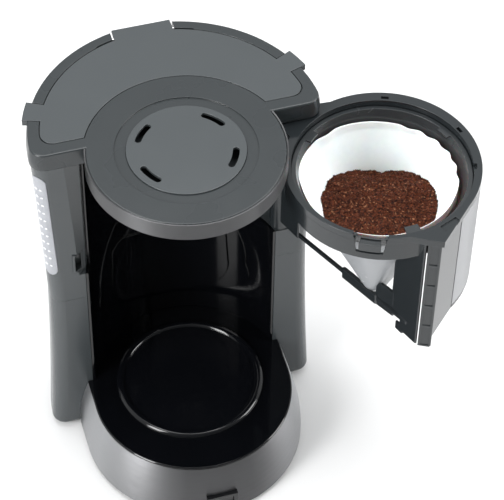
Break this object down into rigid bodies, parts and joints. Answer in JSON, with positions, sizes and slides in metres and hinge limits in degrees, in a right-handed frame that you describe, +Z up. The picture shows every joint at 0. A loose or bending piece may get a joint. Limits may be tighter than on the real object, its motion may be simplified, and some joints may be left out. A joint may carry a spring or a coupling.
{
  "type": "drip coffee maker",
  "caption": "Drip coffee maker with rear water tank and lid, round hot plate, and a filter holder swung out on a vertical hinge with paper filter and ground coffee.",
  "frame": {"origin": "point on the hot plate's axis at table level, on the moulded pad under the base", "axes": "+Z up, +X to the user's right, +Y to the back; the filter holder is swung open to +X"},
  "size_m": [0.332, 0.2652, 0.3405],
  "materials": {
    "satin_black": "satin",
    "gloss_black": "gloss",
    "grey_plastic": "satin",
    "steel_band": "brushed",
    "window": "translucent",
    "plate_coat": "gloss",
    "rubber_black": "matte",
    "silicone": "satin",
    "bright_steel": "polished",
    "cast_aluminium": "cast",
    "heater_sheath": "dull",
    "inner_plastic": "satin",
    "lead_insulation": "matte",
    "paper": "matte",
    "coffee": "granular"
  },
  "bodies": {
    "machine_body": {"lower_housing": "satin_black", "upper_housing": "satin_black", "bay_liner": "gloss_black", "top_cover": "satin_black", "head_band": "steel_band", "vent_insert": "satin_black", "lid_hinge_pin": "bright_steel", "head_under_cover": "satin_black", "spray_head": "inner_plastic", "level_window": "window", "latch_catch": "satin_black", "base_platform": "gloss_black", "base_band": "steel_band", "bottom_cover": "satin_black", "rubber_feet": "rubber_black", "housing_screws": "bright_steel", "hot_plate": "plate_coat", "plate_gasket": "silicone", "heater_tube": "cast_aluminium", "heater_element": "heater_sheath", "heater_clamp": "bright_steel", "clamp_stud": "bright_steel", "thermostat": "cast_aluminium", "thermal_fuses": "inner_plastic", "inlet_hose": "silicone", "riser_hose": "silicone", "hose_clamps": "bright_steel", "check_valve_body": "inner_plastic", "tank_strainer": "bright_steel", "terminal_block": "inner_plastic", "wiring": "lead_insulation", "cord_gland": "rubber_black", "switch_bezel": "gloss_black", "filter_hinge_pin": "bright_steel"},
    "tank_lid_body": {"tank_lid": "satin_black"},
    "power_rocker": {"switch_rocker": "gloss_black"},
    "valve_ball": {"check_valve_ball": "bright_steel"},
    "filter_holder": {"filter_frame": "gloss_black", "filter_shell": "steel_band", "filter_basket": "grey_plastic", "paper_filter": "paper", "coffee_grounds": "coffee", "drip_spring": "bright_steel"},
    "drip_stop": {"drip_valve": "inner_plastic", "drip_seal": "silicone"}
  },
  "joints": [
    {"name": "filter_swing", "type": "hinge", "parent": "machine_body", "child": "filter_holder", "pos_m": [0.0841, 0.0293, 0.26], "axis": [0, 0, 1], "range_deg": [-112, 0]},
    {"name": "lid_hinge", "type": "hinge", "parent": "machine_body", "child": "tank_lid_body", "pos_m": [0, 0.1305, 0.3374], "axis": [-1, 0, 0], "range_deg": [0, 95]},
    {"name": "power_switch", "type": "hinge", "parent": "machine_body", "child": "power_rocker", "pos_m": [0, -0.0956, 0.019], "axis": [1, 0, 0], "range_deg": [0, 12]},
    {"name": "check_valve", "type": "slide", "parent": "machine_body", "child": "valve_ball", "axis": [0, 0, 1], "range_m": [0, 0.0025]},
    {"name": "drip_stop_valve", "type": "slide", "parent": "filter_holder", "child": "drip_stop", "axis": [0, 0, 1], "range_m": [0, 0.004], "stiffness_N_per_m": 150, "springref_m": -0.004, "deforming": ["drip_spring"]}
  ]
}
